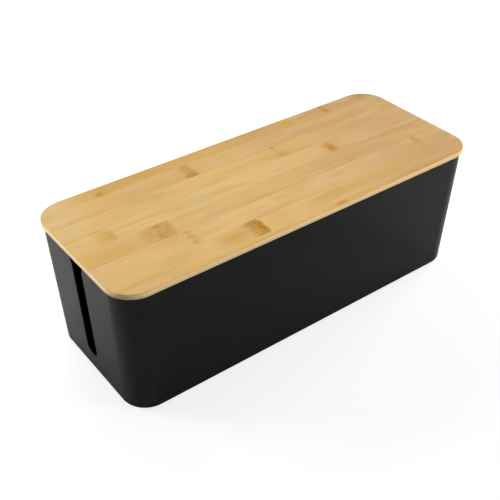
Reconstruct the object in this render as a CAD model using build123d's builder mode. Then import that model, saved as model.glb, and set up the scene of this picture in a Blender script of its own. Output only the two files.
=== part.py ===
"""Cable management box: a moulded tub with a cable slot in each end and a lift-off bamboo lid.

Millimetres. The origin is under the middle of the box, on the surface that it stands on.
+X runs along the box, -Y is its long front and +Z is up.
"""
from build123d import *
import math
import os

# Overall sizes
lid_length = 400.0          # the bamboo board is the longest thing
lid_width = 156.0
lid_thickness = 5.0
lid_overhang = 2.0          # how far the board stands out past the tub's rim all round
lid_edge_radius = 0.8       # sanded arris, top and bottom
tub_height = 129.0          # from the tub's underside to its rim

# Tub: thin moulded walls with draft, so that it is smaller at the bottom
wall = 2.5
floor_thickness = 2.8
end_draft = 5.0             # how far each short end leans in from rim to bottom
side_draft = 3.0            # how far each long side leans in from rim to bottom
corner_radius = 24.5        # upright corners of the tub
base_edge_radius = 2.5      # outside, where the walls turn under
inner_edge_radius = 3.0     # inside, where the walls meet the floor
rim_edge_radius = 0.5       # along the rim and round the slots

# Cable slots, one in the middle of each short end, open at the rim
slot_width = 17.0           # the bottom of the slot is a full round of this width
slot_bottom = 19.0          # lowest point of the slot above the tub's underside
slot_shoulder = 12.0        # rounding where the slot opens out at the rim

# Bamboo board: strips glued edge to edge, with the two outer ones trimmed
strip_width = 22.4
front_strip_width = 6.0
least_strip_width = 4.0     # a narrower rest is left on the last strip

# Rubber pegs under the lid, one in each corner of the tub, that stop it from sliding
peg_radius = 7.0
peg_drop = 8.0              # how far a peg reaches below the lid
peg_edge_radius = 1.5
peg_play = 1.0              # gap between peg and tub corner at the rim
stem_radius = 2.5
stem_length = 3.0
stem_clearance = 0.05       # round the stem in its hole
stem_end_gap = 0.3          # between the stem's end and the bottom of its hole

# Rubber feet, let into the underside of the tub
foot_radius = 8.0
foot_stand = 1.5            # how far the feet hold the tub off the surface
foot_recess = 0.9
foot_inset = 28.0           # from the underside's outline to a foot's centre, both ways
foot_edge_radius = 0.6
foot_clearance = 0.3

# Worked out from the sizes above
rim_z = foot_stand + tub_height
lid_top_z = rim_z + lid_thickness
rim_length = lid_length - 2 * lid_overhang
rim_width = lid_width - 2 * lid_overhang
lid_corner_radius = corner_radius + lid_overhang
inner_corner_radius = corner_radius - wall
peg_reach = (inner_corner_radius - peg_radius - peg_play) * math.sqrt(0.5)
peg_x = rim_length / 2 - wall - inner_corner_radius + peg_reach
peg_y = rim_width / 2 - wall - inner_corner_radius + peg_reach
foot_x = rim_length / 2 - end_draft - foot_inset
foot_y = rim_width / 2 - side_draft - foot_inset
slot_round_z = foot_stand + slot_bottom + slot_width / 2
corners = {
    "front_left": (-1, -1),
    "front_right": (1, -1),
    "back_left": (-1, 1),
    "back_right": (1, 1),
}

os.makedirs("parts", exist_ok=True)


def save(piece, name):
    """Label a finished piece and write it."""
    piece.part.label = name
    export_step(piece.part, f"parts/{name}.step")


def wall_outline(height, inset):
    """Rounded outline of the drafted walls at a height above the underside, moved in by inset."""
    share = 1 - height / tub_height
    length = rim_length - 2 * (end_draft * share + inset)
    width = rim_width - 2 * (side_draft * share + inset)
    RectangleRounded(length, width, corner_radius - inset)


# Tub: drafted shell with a full-round slot in each end
with BuildPart() as tub:
    with BuildSketch(Plane.XY.offset(foot_stand)):
        wall_outline(0, 0)
    with BuildSketch(Plane.XY.offset(rim_z)):
        wall_outline(tub_height, 0)
    loft(ruled=True)
    fillet(tub.faces().sort_by(Axis.Z)[0].edges(), base_edge_radius)

    with BuildSketch(Plane.XY.offset(foot_stand + floor_thickness)):
        wall_outline(floor_thickness, wall)
    with BuildSketch(Plane.XY.offset(rim_z)):
        wall_outline(tub_height, wall)
    loft(ruled=True, mode=Mode.SUBTRACT)
    inner_floor = tub.faces().filter_by(Axis.Z).sort_by(Axis.Z)[1]
    fillet(inner_floor.edges(), inner_edge_radius)

    with BuildSketch(Plane.YZ) as slot:
        with Locations((0, slot_round_z)):
            Circle(slot_width / 2)
            Rectangle(slot_width, tub_height, align=(Align.CENTER, Align.MIN))
    extrude(amount=rim_length, both=True, mode=Mode.SUBTRACT)
    slot_mouths = tub.edges().filter_by(Axis.X).group_by(Axis.Z)[-1]
    mouth_corners = slot_mouths.filter_by(lambda edge: abs(edge.center().Y) < slot_width)
    fillet(mouth_corners, slot_shoulder)

    rim_faces = tub.faces().filter_by(Axis.Z).group_by(Axis.Z)[-1]
    fillet(rim_faces.edges(), rim_edge_radius)

    with BuildSketch(Plane.XY.offset(foot_stand)):
        with GridLocations(2 * foot_x, 2 * foot_y, 2, 2):
            Circle(foot_radius + foot_clearance)
    extrude(amount=foot_recess, mode=Mode.SUBTRACT)
save(tub, "tub")

# Feet: rubber discs with a softened lower edge
for corner, (side_x, side_y) in corners.items():
    with BuildPart() as foot:
        with BuildSketch():
            with Locations((side_x * foot_x, side_y * foot_y)):
                Circle(foot_radius)
        extrude(amount=foot_stand + foot_recess)
        fillet(foot.faces().sort_by(Axis.Z)[0].edges(), foot_edge_radius)
    save(foot, f"foot_{corner}")

# Board: the whole glued and sanded panel, drilled for the pegs
with BuildPart() as board:
    with BuildSketch(Plane.XY.offset(rim_z)):
        RectangleRounded(lid_length, lid_width, lid_corner_radius)
    extrude(amount=lid_thickness)
    fillet(board.faces().filter_by(Axis.Z).edges(), lid_edge_radius)
    with BuildSketch(Plane.XY.offset(rim_z)):
        with GridLocations(2 * peg_x, 2 * peg_y, 2, 2):
            Circle(stem_radius + stem_clearance)
    extrude(amount=stem_length + stem_end_gap, mode=Mode.SUBTRACT)

# Strips: the board parted at its glue lines, from the front edge to the back
strip_edges = [-lid_width / 2, -lid_width / 2 + front_strip_width]
while lid_width / 2 - strip_edges[-1] > strip_width + least_strip_width:
    strip_edges.append(strip_edges[-1] + strip_width)
strip_edges.append(lid_width / 2)
for number, (front, back) in enumerate(zip(strip_edges, strip_edges[1:]), start=1):
    with BuildPart() as strip:
        add(board.part)
        with BuildSketch(Plane.XY.offset(rim_z)):
            with Locations((0, (front + back) / 2)):
                Rectangle(lid_length, back - front)
        extrude(amount=lid_thickness, mode=Mode.INTERSECT)
    save(strip, f"lid_strip_{number}")

# Pegs: round rubber buttons with a stem in the board
for corner, (side_x, side_y) in corners.items():
    centre = (side_x * peg_x, side_y * peg_y)
    with BuildPart() as peg:
        with BuildSketch(Plane.XY.offset(rim_z - peg_drop)):
            with Locations(centre):
                Circle(peg_radius)
        extrude(amount=peg_drop)
        fillet(peg.faces().sort_by(Axis.Z)[0].edges(), peg_edge_radius)
        with BuildSketch(Plane.XY.offset(rim_z)):
            with Locations(centre):
                Circle(stem_radius)
        extrude(amount=stem_length)
    save(peg, f"lid_peg_{corner}")
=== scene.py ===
"""Looks of the cable management box: a satin black moulded tub under a lift-off bamboo board.

Metres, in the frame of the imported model: +X along the box, -Y its long front, +Z up.
"""
import math
from contextlib import contextmanager

import bmesh
import bpy
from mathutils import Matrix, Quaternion, Vector


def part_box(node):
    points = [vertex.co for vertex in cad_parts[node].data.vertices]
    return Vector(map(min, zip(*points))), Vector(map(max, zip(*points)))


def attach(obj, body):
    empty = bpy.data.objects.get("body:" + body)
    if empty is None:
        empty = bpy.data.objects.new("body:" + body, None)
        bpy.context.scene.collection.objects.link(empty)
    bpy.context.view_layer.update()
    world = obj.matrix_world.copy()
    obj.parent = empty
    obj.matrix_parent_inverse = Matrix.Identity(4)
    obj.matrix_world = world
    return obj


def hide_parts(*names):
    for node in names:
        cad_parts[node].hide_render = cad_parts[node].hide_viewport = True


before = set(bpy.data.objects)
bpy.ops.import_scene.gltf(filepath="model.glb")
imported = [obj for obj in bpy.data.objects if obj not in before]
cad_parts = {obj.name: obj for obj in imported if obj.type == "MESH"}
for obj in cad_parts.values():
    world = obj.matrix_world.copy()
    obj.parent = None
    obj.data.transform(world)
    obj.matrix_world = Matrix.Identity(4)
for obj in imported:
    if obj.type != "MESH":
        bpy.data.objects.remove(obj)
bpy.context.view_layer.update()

# ---------------------------------------------------------------- sizes
mm = 0.001
hair = 0.01 * mm                # closer than this counts as the same place
cut_snap = 0.001 * mm           # a cut this near to a point goes through it

# Bamboo board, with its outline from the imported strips
strip_count = 8
front_strip_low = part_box("lid_strip_1")[0]
back_strip_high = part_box(f"lid_strip_{strip_count}")[1]
board_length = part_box("lid_strip_4")[1].x * 2
board_width = back_strip_high.y - front_strip_low.y
board_low, board_high = front_strip_low.z, back_strip_high.z
board_overhang = 2.0 * mm
board_arris = 0.8 * mm
peg_hole_radius = 2.55 * mm
peg_hole_depth = 3.3 * mm

# Tub
rim_z = board_low
underside_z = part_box("tub")[0].z
rim_half_length = board_length / 2 - board_overhang
rim_half_width = board_width / 2 - board_overhang
end_draft = 5.0 * mm            # how far the walls lean in from rim to underside
side_draft = 3.0 * mm
wall = 2.5 * mm
floor_thickness = 2.8 * mm
corner_radius = 24.5 * mm       # upright corners, outside
base_turn = 2.5 * mm            # where the walls turn under
inner_turn = 3.0 * mm
rim_rounding = 0.5 * mm
slot_half_width = 8.5 * mm
slot_low = underside_z + 19.0 * mm
slot_shoulder = 12.0 * mm
foot_recess_play = 0.3 * mm
foot_recess_depth = 0.9 * mm

# Rubber feet and pegs
foot_ring = 2.4 * mm            # width of the ring that a foot stands on
foot_cup_depth = 0.5 * mm       # the shallow cup inside the ring
foot_cup_border = 0.8 * mm
foot_rounding = 0.4 * mm
peg_shoulder = 4.5 * mm         # from the button's edge to its stem
peg_rounding = 1.5 * mm
peg_dimple_border = 2.5 * mm
peg_dimple_depth = 0.8 * mm

corner_steps = 24               # facets round an upright corner
turn_steps = 6                  # facets of the small roundings
arris_steps = 4
fine_steps = 3                  # facets of the smallest roundings

corners = ("front_left", "front_right", "back_left", "back_right")


# ---------------------------------------------------------------- modelling by hand
def only(piece):
    """Make one object the selected and active one."""
    bpy.ops.object.select_all(action="DESELECT")
    piece.select_set(True)
    bpy.context.view_layer.objects.active = piece


@contextmanager
def editing(piece):
    """Edit mode on one piece."""
    only(piece)
    bpy.ops.object.mode_set(mode="EDIT")
    yield
    bpy.ops.object.mode_set(mode="OBJECT")


def choose(kind, wanted):
    """In edit mode, select just the faces or edges for which wanted(middle, direction) is true.

    The direction is a face's normal, or the line of an edge.
    """
    bpy.ops.mesh.select_mode(type=kind)
    bpy.ops.mesh.select_all(action="DESELECT")
    mesh = bmesh.from_edit_mesh(bpy.context.object.data)
    mesh.normal_update()
    for element in mesh.faces if kind == "FACE" else mesh.edges:
        points = [vertex.co for vertex in element.verts]
        middle = sum(points, Vector()) / len(points)
        direction = element.normal if kind == "FACE" else (points[1] - points[0]).normalized()
        if wanted(middle, direction):
            element.select_set(True)
    bmesh.update_edit_mesh(bpy.context.object.data)


def settle(piece):
    """Put the piece's place into its mesh, so that its object sits at the origin."""
    only(piece)
    bpy.ops.object.transform_apply(location=True, rotation=True, scale=True)


def block(name, low, high):
    """A rectangular start between two corners."""
    low, high = Vector(low), Vector(high)
    bpy.ops.object.select_all(action="DESELECT")
    bpy.ops.mesh.primitive_cube_add(size=1, location=(low + high) / 2, scale=high - low)
    piece = bpy.context.object
    piece.name = piece.data.name = name
    settle(piece)
    return piece


def disc(name, centre, radius, low, high, facets=64):
    """A round start about an upright line through centre, from height low to high."""
    bpy.ops.object.select_all(action="DESELECT")
    bpy.ops.mesh.primitive_cylinder_add(
        vertices=facets, radius=radius, depth=high - low, location=(centre.x, centre.y, (low + high) / 2)
    )
    piece = bpy.context.object
    piece.name = piece.data.name = name
    settle(piece)
    return piece


def round_over(offset, steps):
    """Round the selected edges."""
    bpy.ops.mesh.bevel(offset=offset, segments=steps, profile=0.5, affect="EDGES")


def cut_away(piece, cutter):
    """Take the cutter's shape out of the piece and drop the cutter."""
    only(piece)
    carve = piece.modifiers.new("carve", "BOOLEAN")
    carve.object = cutter
    carve.operation = "DIFFERENCE"
    carve.solver = "EXACT"
    bpy.ops.object.modifier_apply(modifier=carve.name)
    bpy.data.objects.remove(cutter)


def smooth(piece, angle=35):
    """Smooth shading over the roundings, with the flat faces kept flat."""
    only(piece)
    bpy.ops.object.shade_smooth_by_angle(angle=math.radians(angle))
    flatten = piece.modifiers.new("flatten", "WEIGHTED_NORMAL")
    flatten.keep_sharp = True
    bpy.ops.object.modifier_apply(modifier=flatten.name)


def dress(piece, material, body, slot, *nodes):
    """Give a finished piece its material and body, and let it stand for CAD nodes."""
    piece.data.materials.clear()
    piece.data.materials.append(material)
    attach(piece, body)
    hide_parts(*nodes)


# ---------------------------------------------------------------- shader helpers
def colour(hex_value):
    """Linear colour of an sRGB hex value."""
    channels = [int(hex_value[start:start + 2], 16) / 255 for start in (0, 2, 4)]
    linear = [c / 12.92 if c <= 0.04045 else ((c + 0.055) / 1.055) ** 2.4 for c in channels]
    return (*linear, 1.0)


def add(tree, kind, inputs=None, **settings):
    """Add a node with its settings, and set or wire its inputs.

    A node given as an input is wired by its first output.
    """
    made = tree.nodes.new("ShaderNode" + kind)
    for name, value in settings.items():
        setattr(made, name, value)
    for name, value in (inputs or {}).items():
        if isinstance(value, bpy.types.Node):
            value = value.outputs[0]
        if isinstance(value, bpy.types.NodeSocket):
            tree.links.new(value, made.inputs[name])
        else:
            made.inputs[name].default_value = value
    return made


def new_material(name):
    """An empty node material and its tree."""
    material = bpy.data.materials.new(name)
    material.use_nodes = True
    material.node_tree.nodes.clear()
    return material, material.node_tree


def millimetres(tree, shift=(0, 0, 0), size=(1, 1, 1)):
    """The place on the piece in millimetres, shifted, and then divided by the size of what repeats."""
    place = add(tree, "TexCoord").outputs["Object"]
    moved = add(tree, "Mapping", {"Vector": place, "Location": shift, "Scale": (1000, 1000, 1000)})
    return add(tree, "Mapping", {"Vector": moved, "Scale": [1 / step for step in size]})


# Inputs and outputs of the Mix node, which has a set for each kind of value
mix_factor, mix_first, mix_second, mix_result = 0, 6, 7, 2


def window(tree, place, centre, half, fade):
    """1 where place is within half of centre, falling softly to 0 over fade."""
    offset = add(tree, "Math", {0: place, 1: centre}, operation="SUBTRACT")
    distance = add(tree, "Math", {0: offset}, operation="ABSOLUTE")
    return add(
        tree,
        "MapRange",
        {"Value": distance, "From Min": half, "From Max": half + fade, "To Min": 1.0, "To Max": 0.0},
        interpolation_type="SMOOTHSTEP",
    )


def stain(tree, under, tone, *masks, depth=1.0):
    """Lay a tone over a colour where all the masks are, as deep as depth."""
    strength = depth
    for mask in masks:
        strength = add(tree, "Math", {0: mask, 1: strength}, operation="MULTIPLY")
    laid = add(tree, "Mix", {mix_factor: strength, mix_first: under, mix_second: tone}, data_type="RGBA")
    return laid.outputs[mix_result]


# ---------------------------------------------------------------- materials
def satin_black_plastic():
    """Injection-moulded black ABS from a spark-eroded mould: a fine even grain spreads every highlight."""
    material, tree = new_material("satin_black_moulded_plastic")
    # Spark grain is about 0.15 mm; drawn at 0.6 mm so that it shows at all
    fine = millimetres(tree, size=(0.6, 0.6, 0.6))
    grain = add(tree, "TexNoise", {"Vector": fine, "Scale": 1.0, "Detail": 2.0})
    bump = add(tree, "Bump", {"Height": grain, "Strength": 0.25, "Distance": 0.02 * mm})
    # Handling leaves hand-sized patches that are a little glossier
    hand_sized = millimetres(tree, size=(60, 60, 45))
    patches = add(tree, "TexNoise", {"Vector": hand_sized, "Scale": 1.0, "Detail": 3.0})
    limits = {"Value": patches, "From Min": 0.3, "From Max": 0.7, "To Min": 0.29, "To Max": 0.34}
    roughness = add(tree, "MapRange", limits)
    shade = add(tree, "MapRange", {"Value": patches, "From Min": 0.2, "From Max": 0.8})
    surface = add(
        tree,
        "BsdfPrincipled",
        {
            "Base Color": stain(tree, colour("0b0b0b"), colour("0f0f0e"), shade),
            "Roughness": roughness,
            "IOR": 1.49,
            "Specular IOR Level": 0.23,
            "Normal": bump,
        },
    )
    add(tree, "OutputMaterial", {"Surface": surface})
    return material


def soft_black_rubber():
    """Moulded black rubber: matt, with a faint bloom of grey."""
    material, tree = new_material("soft_black_moulded_rubber")
    # The bloom lies in specks of about 3 mm
    specks = millimetres(tree, size=(3, 3, 3))
    bloom = add(tree, "TexNoise", {"Vector": specks, "Scale": 1.0, "Detail": 4.0})
    bump = add(tree, "Bump", {"Height": bloom, "Strength": 0.3, "Distance": 0.05 * mm})
    tone = stain(tree, colour("161616"), colour("242423"), bloom)
    surface = add(
        tree, "BsdfPrincipled", {"Base Color": tone, "Roughness": 0.78, "IOR": 1.52, "Normal": bump}
    )
    add(tree, "OutputMaterial", {"Surface": surface})
    return material


straw = colour("eabf7c")
honey = colour("fccb6e")
pale_straw = colour("f7cd88")
dull_tan = colour("caa575")
dull_brown = colour("b58f5c")
caramel = colour("d3a75d")
cream = colour("f0d8aa")
# Painted light for the cut sides: a highlight along the arris, a sheen on the ends, and shade on the lower
# half
painted_arris_highlight = colour("ffda98")
painted_edge_shade = colour("cbb08a")
painted_end_sheen = colour("f7dfb9")
pink_straw = colour("eec29d")
amber = colour("d6a042")
olive = colour("d7a744")
node_brown = colour("ca8c22")
rust = colour("cb8834")
glue_brown = colour("cea15c")
dash_brown = colour("b07816")

# Painted light and shade along the whole board: paler at the left end and left of the middle, darker
# towards the right end. In millimetres along it: (tone, middle, half length, fade, depth)
painted_light_drift = (
    (pale_straw, -205, 15, 75, 0.55),
    (honey, -160, 0, 60, 0.2),
    (pale_straw, -60, 35, 75, 0.35),
    (dull_tan, 200, 20, 210, 0.8),
)

# Fibre bundles are 0.3 mm wide; drawn at 0.7 mm, the finest that shows
fibre_bundle = (34, 0.7, 0.7)

# Patches in the wood: (tone, size in millimetres, noise where they start, noise where they are full,
# detail of the noise, depth)
wood_patches = (
    (straw, (80, 15, 15), 0.42, 0.7, 1.0, 0.4),         # pale clouds
    (caramel, (80, 15, 15), 0.5, 0.25, 1.0, 0.4),       # darker clouds between them
    (amber, (130, 3, 3), 0.5, 0.75, 2.0, 0.22),         # streaks
    (glue_brown, fibre_bundle, 0.5, 0.8, 3.0, 0.1),     # fibres
    (pink_straw, (55, 9, 9), 0.55, 0.7, 3.0, 0.35),     # a pink flush
)

# How the marks of the strips are laid
mark_strength = 0.8             # share of the depth given for a node or a patch
patch_core = 0.15               # share of a patch's reach that has its full tone
dash_strength = 0.45            # share of the depth given for a node's dashes
line_strength = 0.5             # share of the depth given for a line
line_softness = 2.6             # a line fades out over this many of its half widths
line_end_fade = 16              # millimetres at each end of a line
sway_reach = 3.5                # millimetres that a mark's ragged ends sway either way

# What shows on each strip, front to back, in millimetres along the board (x) and across it (y).
# tone: base colour. lines: (y, from x, to x, half width, depth). patches: (x, y, reach along, reach across,
# depth, tone). nodes: (x of the ridge, fade before it, fade after it, depth, tone, depth of its dashes).
strip_looks = {
    1: {
        "tone": colour("f0c277"),
        "patches": [
            (28, -75, 9, 3.5, 0.85, node_brown),
            (-60, -76, 80, 2, 0.3, amber),
            (135, -75, 50, 4, 0.35, caramel),
        ],
    },
    2: {
        "tone": colour("f2c883"),
        "nodes": [(-49.5, 19, 2.0, 0.9, node_brown, 1.1)],
        "patches": [
            (-51.5, -60, 3.5, 12, 0.55, dash_brown),
            (-58, -53, 9, 3.5, 0.35, dash_brown),
            (-78, -61, 22, 11, 0.6, amber),
            (-30, -60, 16, 14, 0.2, olive),
            (110, -60, 60, 9, 0.35, caramel),
        ],
        "lines": [
            (-60, -92, -58, 0.4, 0.8),
            (-69.5, -190, -135, 0.3, 0.8),
            (-66.5, -186, -140, 0.25, 0.7),
            (-63.5, -180, -145, 0.25, 0.6),
        ],
    },
    3: {
        "tone": colour("f4ca8f"),
        "nodes": [(-105, 7, 4, 0.25, olive, 0.35), (163, 9, 6, 0.4, olive, 0.3)],
        "patches": [
            (-109, -46, 4, 3, 0.45, node_brown),
            (-108.5, -37, 3, 2.5, 0.38, node_brown),
            (-108.5, -30, 3, 2, 0.38, node_brown),
            (162, -34, 6, 8, 0.4, node_brown),
        ],
        "lines": [
            (-49.3, -62, 52, 0.5, 1.0),
            (-44.5, -60, 40, 0.35, 0.8),
            (-41, -50, 36, 0.3, 0.7),
            (-38, -30, 30, 0.25, 0.5),
        ],
    },
    4: {
        "tone": colour("e6bd7a"),
        "nodes": [(-117, 22, 6, 0.5, node_brown, 0.35)],
        "patches": [
            (-127, -22, 4.5, 4.5, 0.45, rust),
            (-137, -16, 8, 14, 0.6, olive),
            (-124, -8, 4, 2.5, 0.4, dash_brown),
            (-133, -14, 4, 6, 0.25, rust),
            (-115, -13, 4, 8, 0.3, node_brown),
            (-175, -18, 40, 10, 0.4, olive),
        ],
        "lines": [
            (-26.6, -205, -160, 0.5, 1.0),
            (-26.8, -152, -128, 0.4, 0.8),
            (-26.8, 50, 95, 0.4, 0.5),
            (-26.8, 140, 205, 0.4, 0.7),
            (-8.3, -114, -74, 0.4, 0.7),
            (-8.3, 112, 155, 0.4, 0.8),
        ],
    },
    5: {
        "tone": colour("edca8f"),
        "patches": [
            (88, 6, 16, 14, 0.3, rust),
            (85, 5, 7, 11.5, 0.85, rust),
            (83, 2, 3.5, 8, 0.4, dash_brown),
            (-72, 1, 24, 7, 0.3, cream),
            (-166, 6, 11, 12, 0.6, olive),
            (-161, 3, 4, 10, 0.6, olive),
            (-170, 16, 9, 1.5, 0.5, node_brown),
        ],
    },
    6: {
        "tone": colour("e7bf7b"),
        "nodes": [(41, 7, 6, 0.2, olive, 0.4)],
        "patches": [
            (38.5, 22.5, 7, 6, 0.75, olive),
            (37, 23, 4, 4, 0.25, node_brown),
            (38, 37.5, 2.5, 2, 0.7, dash_brown),
            (62, 20, 30, 3, 0.5, olive),
            # Painted sheen: a paler patch at the back of the left end
            (-188, 28, 32, 16, 0.35, cream),
        ],
        "lines": [(39.2, -190, -112, 0.5, 1.0), (38.6, -10, 205, 0.5, 0.7)],
    },
    7: {
        "tone": colour("ddb67c"),
        "nodes": [(-47.5, 16, 3, 0.55, node_brown, 0.8)],
        "patches": [
            (-53, 44, 9, 7, 0.45, dash_brown),
            (-60, 51, 75, 14, 0.3, caramel),
            # Painted sheen: a paler patch at the back of the left end
            (-190, 51, 32, 16, 0.4, cream),
        ],
        "lines": [(40.6, -78, -38, 0.5, 1.0)],
    },
    8: {
        "tone": colour("d0ab6d"),
        "nodes": [(-132, 9, 6, 0.5, olive, 0.4), (133, 6, 3, 0.7, node_brown, 0.6)],
        "patches": [
            (-138, 65, 5, 5, 0.9, node_brown),
            (79, 70, 10, 8, 1.0, olive),
            (131, 67, 6, 5, 0.5, node_brown),
            (148, 70, 20, 8, 0.6, dull_tan),
            (190, 70, 30, 9, 0.7, dull_brown),
            (-75, 70, 130, 14, 0.45, amber),
            # Painted sheen: a paler patch at the back of the left end
            (-188, 70, 32, 14, 0.5, cream),
        ],
        "lines": [(62.9, -40, 205, 0.5, 0.5)],
    },
}


def own_place(number):
    """Each strip takes its patterns from a far-off place of its own, so that no two are alike."""
    return (number * 731.0, number * 57.0, number * 23.0)


def mottled(tree, number, size, low, high, detail=2.0):
    """Soft patches of a size in millimetres: 0 where their noise is at low, 1 where it is at high."""
    place = millimetres(tree, own_place(number), size)
    noise = add(tree, "TexNoise", {"Vector": place, "Scale": 1.0, "Detail": detail})
    limits = {"Value": noise, "From Min": low, "From Max": high}
    return add(tree, "MapRange", limits, interpolation_type="SMOOTHSTEP")


def wood_tones(tree, number, x):
    """The strip's own tone, with the painted light and shade along the board and the patches in the wood.
    """
    wood = strip_looks[number]["tone"]
    # Painted light and shade along the board
    for tone, middle, half, fade, depth in painted_light_drift:
        wood = stain(tree, wood, tone, window(tree, x, middle, half, fade), depth=depth)
    for tone, size, low, high, detail, depth in wood_patches:
        wood = stain(tree, wood, tone, mottled(tree, number, size, low, high, detail), depth=depth)
    return wood


def draw_lines(tree, number, wood, x, y):
    """Glue lines along both edges of the strip, and the thin lines that it has of its own."""
    # The glue is 0.1 mm wide; drawn wider and soft, and lost here and there as on a sanded board
    patchy = mottled(tree, number, (45, 8, 8), low=0.45, high=0.65)
    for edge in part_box(f"lid_strip_{number}"):
        glue = window(tree, y, edge.y / mm, half=0.0, fade=1.6)
        wood = stain(tree, wood, glue_brown, glue, patchy, depth=0.3)
    for across, start, end, half, depth in strip_looks[number].get("lines", ()):
        full_half_length = (end - start - line_end_fade) / 2
        along = window(tree, x, (start + end) / 2, full_half_length, line_end_fade)
        thin = window(tree, y, across, 0.0, line_softness * half)
        wood = stain(tree, wood, glue_brown, thin, along, depth=line_strength * depth)
    return wood


def ragged(tree, number, x):
    """The place along the board, made to sway, so that marks that go by it end raggedly."""
    tufts = millimetres(tree, own_place(number), (25, 4, 4))
    sway = add(tree, "TexNoise", {"Vector": tufts, "Scale": 1.0, "Detail": 2.0})
    swayed = add(tree, "Math", {0: sway, 1: 2 * sway_reach, 2: x}, operation="MULTIPLY_ADD")
    return add(tree, "Math", {0: swayed, 1: sway_reach}, operation="SUBTRACT")


def draw_bamboo_nodes(tree, number, wood, along):
    """The nodes of the bamboo: darker towards the ridge, fading behind it, and dashed mostly before it."""
    # The fibres part at a node, and their dark ends show as short dots and strokes
    dots = mottled(tree, number, (2.6, 2.0, 2.0), low=0.52, high=0.66, detail=0.0)
    strokes = mottled(tree, number, (1.6, 5.5, 5.5), low=0.52, high=0.64, detail=0.0)
    dashes = add(tree, "Math", {0: dots, 1: strokes}, operation="MAXIMUM")
    for ridge, before, after, depth, tone, dash_depth in strip_looks[number].get("nodes", ()):
        limits = {"Value": along, "From Min": ridge - before, "From Max": ridge - 0.2 * before}
        rise = add(tree, "MapRange", limits, interpolation_type="SMOOTHSTEP")
        limits = {"Value": along, "From Min": ridge + after, "From Max": ridge}
        fall = add(tree, "MapRange", limits, interpolation_type="SMOOTHSTEP")
        wood = stain(tree, wood, tone, rise, fall, depth=mark_strength * depth)
        dashed = window(tree, along, ridge - 0.35 * before, half=0.15 * before, fade=0.35 * before)
        wood = stain(tree, wood, dash_brown, dashed, dashes, depth=dash_strength * dash_depth)
    return wood


def draw_patches(tree, number, wood, along, y):
    """The soft marks that the strip has of its own, and on the back strips pale patches at the left end,
    which are painted sheen.
    """
    for at_x, at_y, reach_x, reach_y, depth, tone in strip_looks[number].get("patches", ()):
        in_length = window(tree, along, at_x, patch_core * reach_x, reach_x)
        in_width = window(tree, y, at_y, patch_core * reach_y, reach_y)
        wood = stain(tree, wood, tone, in_length, in_width, depth=mark_strength * depth)
    return wood


def draw_cut_sides(tree, number, wood, z):
    """Cut sides are paler, with the layers that the strip is pressed from. The arris gets a painted
    highlight, the end faces are painted palest as sheen, and the lower half of each side gets painted
    shade.
    """
    facing = add(tree, "SeparateXYZ", {"Vector": add(tree, "NewGeometry").outputs["Normal"]}).outputs
    upright = window(tree, facing["Z"], centre=0.0, half=0.8, fade=0.17)
    arris = window(tree, facing["Z"], centre=0.68, half=0.17, fade=0.06)
    along_grain = add(tree, "Math", {0: facing["X"]}, operation="ABSOLUTE")
    end_cut = window(tree, along_grain, centre=1.0, half=0.45, fade=0.3)
    shaded_lower_half = window(tree, z, centre=board_low / mm + 1.4, half=0.6, fade=1.4)
    layers = mottled(tree, number, (120, 120, 0.6), low=0.42, high=0.62)
    wood = stain(tree, wood, cream, upright, depth=0.8)
    # Painted highlight along the rounded arris
    wood = stain(tree, wood, painted_arris_highlight, arris)
    # Painted sheen: the end faces are made paler
    wood = stain(tree, wood, painted_end_sheen, end_cut, depth=0.9)
    # Painted shade: the lower half of each side is darker
    wood = stain(tree, wood, painted_edge_shade, upright, shaded_lower_half, depth=0.6)
    return stain(tree, wood, caramel, upright, layers, depth=0.35)


def bamboo(number):
    """Caramel bamboo strip, planed, glued and rubbed with oil.

    The eye gets long fibres with a soft sheen, brown nodes and thin glue lines.
    """
    material, tree = new_material(f"oiled_bamboo_{number}")
    x, y, z = add(tree, "SeparateXYZ", {"Vector": millimetres(tree)}).outputs
    along = ragged(tree, number, x)
    wood = wood_tones(tree, number, x)
    wood = draw_lines(tree, number, wood, x, y)
    wood = draw_bamboo_nodes(tree, number, wood, along)
    wood = draw_patches(tree, number, wood, along, y)
    wood = draw_cut_sides(tree, number, wood, z)
    along_fibres = millimetres(tree, own_place(number), fibre_bundle)
    fibres = add(tree, "TexNoise", {"Vector": along_fibres, "Scale": 1.0, "Detail": 3.0})
    bump = add(tree, "Bump", {"Height": fibres, "Strength": 0.2, "Distance": 0.03 * mm})
    limits = {"Value": fibres, "From Min": 0.3, "From Max": 0.7, "To Min": 0.7, "To Max": 0.82}
    roughness = add(tree, "MapRange", limits)
    surface = add(
        tree,
        "BsdfPrincipled",
        {
            "Base Color": wood,
            "Roughness": roughness,
            "IOR": 1.48,
            "Specular IOR Level": 0.04,
            "Normal": bump,
        },
    )
    add(tree, "OutputMaterial", {"Surface": surface})
    return material


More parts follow.
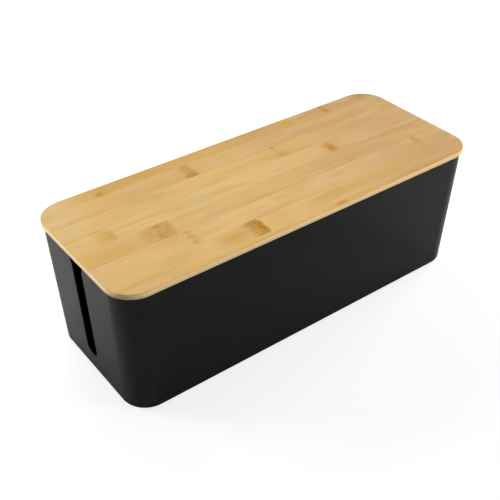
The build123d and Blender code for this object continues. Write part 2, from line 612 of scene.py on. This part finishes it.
# ---------------------------------------------------------------- pieces
def open_shell(name, rim, base, bottom, corner, turn):
    """Walls and floor with no thickness: open at the rim, with a square-cut slot in each end wall.

    rim and base are the half length and half width at the top and at the bottom.
    """
    shell = block(name, (-rim.x, -rim.y, bottom), (rim.x, rim.y, rim_z))

    def end_wall(middle, normal):
        return abs(normal.x) > 0.9 and abs(normal.y) < 0.01

    def in_slot(middle, normal):
        return end_wall(middle, normal) and abs(middle.y) < slot_half_width and middle.z > slot_low

    with editing(shell):
        choose("FACE", lambda middle, normal: normal.z < -0.9)
        bpy.ops.transform.resize(value=(base.x / rim.x, base.y / rim.y, 1), center_override=(0, 0, bottom))
        choose("EDGE", lambda middle, line: abs(line.z) > 0.9)
        round_over(corner, corner_steps)
        choose("FACE", lambda middle, normal: normal.z > 0.9)
        bpy.ops.mesh.delete(type="FACE")
        choose("EDGE", lambda middle, line: middle.z < bottom + hair)
        round_over(turn, turn_steps)
        for place, direction in (
            ((0, slot_half_width, 0), (0, 1, 0)),
            ((0, -slot_half_width, 0), (0, 1, 0)),
            ((0, 0, slot_low), (0, 0, 1)),
        ):
            choose("FACE", end_wall)
            bpy.ops.mesh.bisect(plane_co=place, plane_no=direction, threshold=cut_snap)
        choose("FACE", in_slot)
        bpy.ops.mesh.delete(type="FACE")
        choose("FACE", end_wall)
        bpy.ops.mesh.dissolve_limited(angle_limit=math.radians(0.5))
    return shell


def through_wall(height):
    """A test for the slots' edges that run through the end walls at a height."""
    def at_slot(middle, line):
        beside_slot = abs(middle.y) < slot_half_width + hair and abs(middle.z - height) < hair
        return beside_slot and abs(line.x) > 0.9
    return at_slot


def between_walls(middle, normal):
    """Whether a face is one of the narrow ones along the rim and round the slots."""
    mouth_half_width = slot_half_width + slot_shoulder
    in_mouth = abs(middle.x) > 0.9 * rim_half_length and abs(middle.y) < mouth_half_width + hair
    return middle.z > slot_low - hair and (normal.z > 0.9 or (in_mouth and abs(normal.x) < 0.5))


def join_shells(outside, inside):
    """Bridge the two shells to one wall, and round its rim and the ends and mouths of its slots."""
    with editing(inside):
        bpy.ops.mesh.select_all(action="SELECT")
        bpy.ops.mesh.flip_normals()
    only(outside)
    inside.select_set(True)
    bpy.ops.object.join()
    with editing(outside):
        bpy.ops.mesh.select_mode(type="EDGE")
        bpy.ops.mesh.select_all(action="DESELECT")
        bpy.ops.mesh.select_non_manifold()
        bpy.ops.mesh.bridge_edge_loops()
        choose("EDGE", through_wall(slot_low))
        round_over(slot_half_width, corner_steps // 2)
        choose("EDGE", through_wall(rim_z))
        round_over(slot_shoulder, corner_steps // 2)
        bpy.ops.mesh.select_all(action="SELECT")
        bpy.ops.mesh.remove_doubles(threshold=hair)
        choose("FACE", between_walls)
        bpy.ops.mesh.region_to_loop()
        round_over(rim_rounding, fine_steps)


def make_tub():
    """The moulded tub in one piece, with the recesses that its feet sit in."""
    rim = Vector((rim_half_length, rim_half_width))
    draft = Vector((end_draft, side_draft))
    tub = open_shell("tub_shell", rim, rim - draft, underside_z, corner_radius, base_turn)
    inner_rim = rim - Vector((wall, wall))
    floor_share = floor_thickness / (rim_z - underside_z)
    inner_base = inner_rim - draft * (1 - floor_share)
    inner_low = underside_z + floor_thickness
    inside = open_shell("inside", inner_rim, inner_base, inner_low, corner_radius - wall, inner_turn)
    join_shells(tub, inside)
    for corner in corners:
        low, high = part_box(f"foot_{corner}")
        radius = (high.x - low.x) / 2 + foot_recess_play
        recess = disc("recess", (low + high) / 2, radius, underside_z - mm, underside_z + foot_recess_depth)
        cut_away(tub, recess)
    smooth(tub)
    return tub


def make_board():
    """The whole glued board, rounded, sanded and drilled for the pegs, before it is parted into strips."""
    half_length, half_width = board_length / 2, board_width / 2
    board = block("board", (-half_length, -half_width, board_low), (half_length, half_width, board_high))
    with editing(board):
        choose("EDGE", lambda middle, line: abs(line.z) > 0.9)
        round_over(corner_radius + board_overhang, corner_steps)
        choose("EDGE", lambda middle, line: abs(line.z) < 0.1)
        round_over(board_arris, arris_steps)
    for corner in corners:
        low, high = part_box(f"lid_peg_{corner}")
        hole_top = board_low + peg_hole_depth
        hole = disc("hole", (low + high) / 2, peg_hole_radius, board_low - mm, hole_top, facets=32)
        cut_away(board, hole)
    return board


def part_strip(board, number):
    """One strip of the board, cut out along its glue lines."""
    low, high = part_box(f"lid_strip_{number}")
    only(board)
    bpy.ops.object.duplicate()
    strip = bpy.context.object
    strip.name = strip.data.name = f"bamboo_strip_{number}"
    cuts = []
    if number > 1:
        cuts.append((low.y, {"clear_inner": True}))
    if number < strip_count:
        cuts.append((high.y, {"clear_outer": True}))
    with editing(strip):
        for across, side in cuts:
            bpy.ops.mesh.select_all(action="SELECT")
            bpy.ops.mesh.bisect(
                plane_co=(0, across, 0), plane_no=(0, 1, 0), use_fill=True, threshold=cut_snap, **side
            )
    smooth(strip)
    return strip


def make_foot():
    """Round rubber foot with a softened rim and a shallow cup underneath, made in the middle of the box."""
    low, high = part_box("foot_front_left")
    foot = disc("foot_model", Vector(), (high.x - low.x) / 2, low.z, high.z)
    with editing(foot):
        choose("FACE", lambda middle, normal: normal.z < -0.9)
        bpy.ops.mesh.inset(thickness=foot_ring)
        bpy.ops.mesh.extrude_region_move(TRANSFORM_OT_translate={"value": (0, 0, foot_cup_depth)})
        bpy.ops.mesh.inset(thickness=foot_cup_border)
        choose("EDGE", lambda middle, line: abs(line.z) < 0.1 and middle.z < low.z + hair)
        round_over(foot_rounding, fine_steps)
    smooth(foot, angle=50)
    return foot


def make_peg():
    """Rubber peg, made in the middle: a button with a dimple below, and the stem that the board holds."""
    low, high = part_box("lid_peg_front_left")
    peg = disc("peg_model", Vector(), (high.x - low.x) / 2, low.z, rim_z)
    with editing(peg):
        choose("FACE", lambda middle, normal: normal.z > 0.9)
        bpy.ops.mesh.inset(thickness=peg_shoulder)
        bpy.ops.mesh.extrude_region_move(TRANSFORM_OT_translate={"value": (0, 0, high.z - rim_z)})
        choose("EDGE", lambda middle, line: middle.z < low.z + hair)
        round_over(peg_rounding, turn_steps)
        choose("FACE", lambda middle, normal: normal.z < -0.9 and middle.z < low.z + hair)
        bpy.ops.mesh.inset(thickness=peg_dimple_border)
        bpy.ops.mesh.extrude_region_move(TRANSFORM_OT_translate={"value": (0, 0, peg_dimple_depth)})
    smooth(peg, angle=50)
    return peg


def copy_to(model, name, node):
    """A copy of a piece modelled in the middle, with its own mesh, moved to where a CAD node stands."""
    low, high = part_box(node)
    only(model)
    bpy.ops.object.duplicate()
    piece = bpy.context.object
    piece.name = piece.data.name = name
    bpy.ops.transform.translate(value=((low.x + high.x) / 2, (low.y + high.y) / 2, 0))
    settle(piece)
    return piece


plastic = satin_black_plastic()
rubber = soft_black_rubber()
dress(make_tub(), plastic, "tub", "tub_plastic", "tub")
whole_board = make_board()
for number in range(1, strip_count + 1):
    dress(part_strip(whole_board, number), bamboo(number), "lid", "bamboo", f"lid_strip_{number}")
foot_model = make_foot()
peg_model = make_peg()
for corner in corners:
    foot, peg = f"foot_{corner}", f"lid_peg_{corner}"
    dress(copy_to(foot_model, f"rubber_{foot}", foot), rubber, "tub", "foot_rubber", foot)
    dress(copy_to(peg_model, f"rubber_peg_{corner}", peg), rubber, "lid", "peg_rubber", peg)
for model in (whole_board, foot_model, peg_model):
    bpy.data.objects.remove(model)
# The CAD nodes are all replaced and don't show, and they still lose their plain colours
for name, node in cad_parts.items():
    node.data.materials.clear()
    node.data.materials.append(plastic if name == "tub" else rubber)


# ---------------------------------------------------------------- stage, light and camera
def seen_clearly(tree):
    """1 for what the camera sees straight or through gloss or glass, 0 for light that only bounces."""
    path = add(tree, "LightPath")
    gloss, glass = path.outputs["Is Glossy Ray"], path.outputs["Is Transmission Ray"]
    clear = add(tree, "Math", {0: gloss, 1: glass}, operation="MAXIMUM")
    return add(tree, "Math", {0: path.outputs["Is Camera Ray"], 1: clear}, operation="MAXIMUM")


def white_table():
    """Matt white table. The camera sees it lifted to white, and only a faint shadow is left round the box.

    Gloss and glass see it as it is lit, which gives the plastic its gradients. From below it is clear.
    """
    material, tree = new_material("matt_white_table")
    matt = add(tree, "BsdfDiffuse", {"Color": colour("d2d2d2")})
    from_box = add(tree, "VectorMath", {0: millimetres(tree)}, operation="LENGTH").outputs["Value"]
    # Half a metre out the lift grows, so that the far table meets the white behind it without a line
    limits = {"Value": from_box, "From Min": 500, "From Max": 1100, "To Min": 0.78, "To Max": 1.0}
    strength = add(tree, "MapRange", limits)
    lift = add(tree, "Emission", {"Color": (1, 1, 1, 1), "Strength": strength})
    shaded = add(tree, "BsdfDiffuse", {"Color": colour("a0a0a0")})
    lifted = add(tree, "AddShader", {0: lift, 1: shaded})
    camera = add(tree, "LightPath").outputs["Is Camera Ray"]
    top = add(tree, "MixShader", {0: camera, 1: matt, 2: lifted})
    back_face = add(tree, "NewGeometry").outputs["Backfacing"]
    below = add(tree, "Math", {0: camera, 1: back_face}, operation="MULTIPLY")
    clear = add(tree, "BsdfTransparent")
    add(tree, "OutputMaterial", {"Surface": add(tree, "MixShader", {0: below, 1: top, 2: clear})})
    return material


def make_table():
    """A round table top, wide enough to fill the view from any side."""
    bpy.ops.object.select_all(action="DESELECT")
    bpy.ops.mesh.primitive_circle_add(vertices=96, radius=6, fill_type="NGON", location=(0, 0, 0))
    table = bpy.context.object
    table.name = table.data.name = "table"
    table.data.materials.append(white_table())


def softbox(name, azimuth, elevation, distance, size, power):
    """A square area lamp facing the middle of the box. Azimuth 0 is at its right end, 90 behind it."""
    around, up = math.radians(azimuth), math.radians(elevation)
    middle = Vector((0, 0, 70 * mm))
    outward = Vector((math.cos(up) * math.cos(around), math.cos(up) * math.sin(around), math.sin(up)))
    lamp = bpy.data.lights.new(name, "AREA")
    lamp.shape = "SQUARE"
    lamp.size = size
    lamp.energy = power
    holder = bpy.data.objects.new(name, lamp)
    holder.location = middle + outward * distance
    holder.rotation_euler = outward.to_track_quat("Z", "Y").to_euler()
    bpy.context.scene.collection.objects.link(holder)


def room_light():
    """Even, dim room light. The camera, and gloss and glass, see plain white behind the table."""
    world = bpy.data.worlds.new("room")
    world.use_nodes = True
    tree = world.node_tree
    tree.nodes.clear()
    room = add(tree, "Background", {"Color": (1, 1, 1, 1), "Strength": 0.02})
    white = add(tree, "Background", {"Color": (1, 1, 1, 1), "Strength": 1.0})
    either = add(tree, "MixShader", {0: seen_clearly(tree), 1: room, 2: white})
    add(tree, "OutputWorld", {"Surface": either})
    bpy.context.scene.world = world


def make_camera():
    """Camera above the near left corner."""
    azimuth, elevation, roll = (math.radians(angle) for angle in (-37.17, 36.71, 0.15))
    level = math.cos(elevation)
    back = Vector((math.sin(azimuth) * level, -math.cos(azimuth) * level, math.sin(elevation)))
    aim = Vector((3.1, 27.3, 33.1)) * mm
    distance = 872.2 * mm
    camera = bpy.data.objects.new("camera", bpy.data.cameras.new("camera"))
    camera.data.sensor_width = 36
    camera.data.lens = 61.5
    camera.location = aim + back * distance
    camera.rotation_euler = (back.to_track_quat("Z", "Y") @ Quaternion((0, 0, 1), roll)).to_euler()
    bpy.context.scene.collection.objects.link(camera)
    bpy.context.scene.camera = camera


make_table()
softbox("back_bank", azimuth=78, elevation=28, distance=2.0, size=1.2, power=30)
softbox("back_left_card", azimuth=138, elevation=12, distance=1.2, size=0.5, power=13.4)
softbox("right_card", azimuth=5, elevation=30, distance=2.0, size=0.8, power=20.5)
softbox("front_card", azimuth=-50, elevation=12, distance=2.0, size=0.8, power=33)
room_light()
make_camera()
bpy.context.scene.view_settings.view_transform = "Standard"
